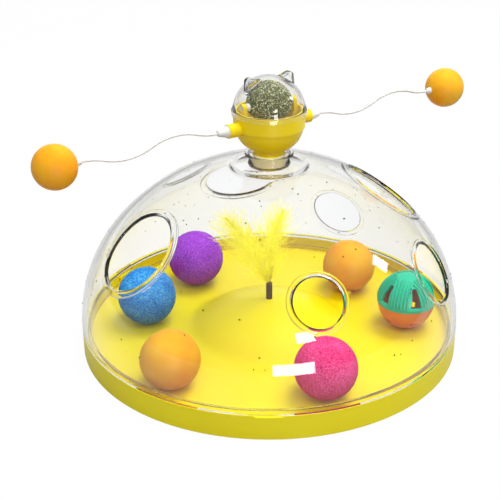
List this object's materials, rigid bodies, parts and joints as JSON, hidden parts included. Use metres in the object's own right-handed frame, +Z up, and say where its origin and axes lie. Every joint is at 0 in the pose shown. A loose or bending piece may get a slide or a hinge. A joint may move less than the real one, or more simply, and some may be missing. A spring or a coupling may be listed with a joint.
{
  "type": "cat ball-chase toy with turning catnip top",
  "caption": "Round tray under a clear dome with paw holes, loose balls to chase, a feather, and a turning top with a catnip ball and springy ball arms.",
  "frame": {"origin": "middle of the surface that the foot pads stand on", "axes": "+X to the right as seen from the front, the wider way across the arms; +Z up; the front, where the thumb notch is, faces -Y"},
  "size_m": [0.2666, 0.25, 0.1816],
  "materials": {
    "yellow_plastic": "moulded, semi-gloss",
    "clear_plastic": "clear, polished",
    "pad_rubber": "matt",
    "cream_nylon": "satin",
    "white_plastic": "satin",
    "coated_wire": "white coated spring wire",
    "washer_steel": "plated",
    "screw_brass": "plated",
    "orange_ball": "soft matt foam skin",
    "catnip": "pressed dried leaf",
    "blue_plush": "short pile",
    "purple_plush": "short pile",
    "pink_plush": "short pile",
    "teal_plastic": "ribbed",
    "orange_plastic": "moulded",
    "bell_brass": "polished",
    "pellet_steel": "plain",
    "ferrule": "dark wrapped tube",
    "quill": "bare quill",
    "feather_down": "downy feather"
  },
  "bodies": {
    "base": {"base_tray": "yellow_plastic", "foot_pads": "pad_rubber", "feather_ferrule": "ferrule", "feather_quills": "quill", "feather_plume_left": "feather_down", "feather_plume_right": "feather_down"},
    "dome": {"dome": "clear_plastic", "spindle_bush": "cream_nylon"},
    "rotor": {"rotor_cup": "yellow_plastic", "rotor_washer": "washer_steel", "rotor_screw": "screw_brass", "arm_sleeve_left": "white_plastic", "arm_sleeve_right": "white_plastic"},
    "arm_left": {"arm_wire_left": "coated_wire", "ball_plug_left": "white_plastic", "end_ball_left": "orange_ball"},
    "arm_right": {"arm_wire_right": "coated_wire", "ball_plug_right": "white_plastic", "end_ball_right": "orange_ball"},
    "catnip": {"catnip_ball": "catnip", "catnip_axle": "white_plastic"},
    "lid": {"catnip_lid": "clear_plastic"},
    "ball_blue": {"plush_ball_blue": "blue_plush"},
    "ball_purple": {"plush_ball_purple": "purple_plush"},
    "ball_pink": {"plush_ball_pink": "pink_plush"},
    "ball_orange_rear": {"orange_ball_rear": "orange_ball"},
    "ball_orange_front": {"orange_ball_front": "orange_ball"},
    "ball_bell": {"bell_ball_top": "teal_plastic", "bell_ball_bottom": "orange_plastic"},
    "bell": {"jingle_bell": "bell_brass", "bell_pellet": "pellet_steel"}
  },
  "joints": [
    {"name": "dome_lift", "type": "slide", "parent": "base", "child": "dome", "axis": [0, 0, 1], "range_m": [0, 0.12]},
    {"name": "rotor_spin", "type": "hinge", "parent": "dome", "child": "rotor", "pos_m": [0, 0, 0.15038], "axis": [0, 0, 1], "continuous": true},
    {"name": "arm_left_flex", "type": "hinge", "parent": "rotor", "child": "arm_left", "pos_m": [-0.03104, -0.0194, 0.15038], "axis": [-0.5299, 0.848, 0], "range_deg": [-10, 10], "stiffness_Nm_per_rad": 0.8},
    {"name": "arm_right_flex", "type": "hinge", "parent": "rotor", "child": "arm_right", "pos_m": [0.03104, 0.0194, 0.15038], "axis": [0.5299, -0.848, 0], "range_deg": [-10, 10], "stiffness_Nm_per_rad": 0.8},
    {"name": "catnip_spin", "type": "hinge", "parent": "rotor", "child": "catnip", "pos_m": [0, 0, 0.16318], "axis": [0.848, 0.5299, 0], "continuous": true},
    {"name": "lid_lift", "type": "slide", "parent": "rotor", "child": "lid", "axis": [0, 0, 1], "range_m": [0, 0.05]},
    {"name": "ball_blue_roll", "type": "hinge", "parent": "base", "child": "ball_blue", "pos_m": [0, 0, 0.02], "axis": [0, 0, 1], "range_deg": [-8, 14.5]},
    {"name": "ball_purple_roll", "type": "hinge", "parent": "base", "child": "ball_purple", "pos_m": [0, 0, 0.02], "axis": [0, 0, 1], "range_deg": [-29.5, 8]},
    {"name": "ball_pink_roll", "type": "hinge", "parent": "base", "child": "ball_pink", "pos_m": [0, 0, 0.02], "axis": [0, 0, 1], "range_deg": [-17, 21]},
    {"name": "ball_orange_rear_roll", "type": "hinge", "parent": "base", "child": "ball_orange_rear", "pos_m": [0, 0, 0.02], "axis": [0, 0, 1], "range_deg": [-8.5, 29.5]},
    {"name": "ball_orange_front_roll", "type": "hinge", "parent": "base", "child": "ball_orange_front", "pos_m": [0, 0, 0.02], "axis": [0, 0, 1], "range_deg": [-14.5, 17]},
    {"name": "ball_bell_roll", "type": "hinge", "parent": "base", "child": "ball_bell", "pos_m": [0, 0, 0.02], "axis": [0, 0, 1], "range_deg": [-21, 8.5]},
    {"name": "bell_swing", "type": "hinge", "parent": "ball_bell", "child": "bell", "pos_m": [0.09209, -0.00161, 0.0263], "axis": [1, 0, 0], "range_deg": [-45, 45]}
  ]
}
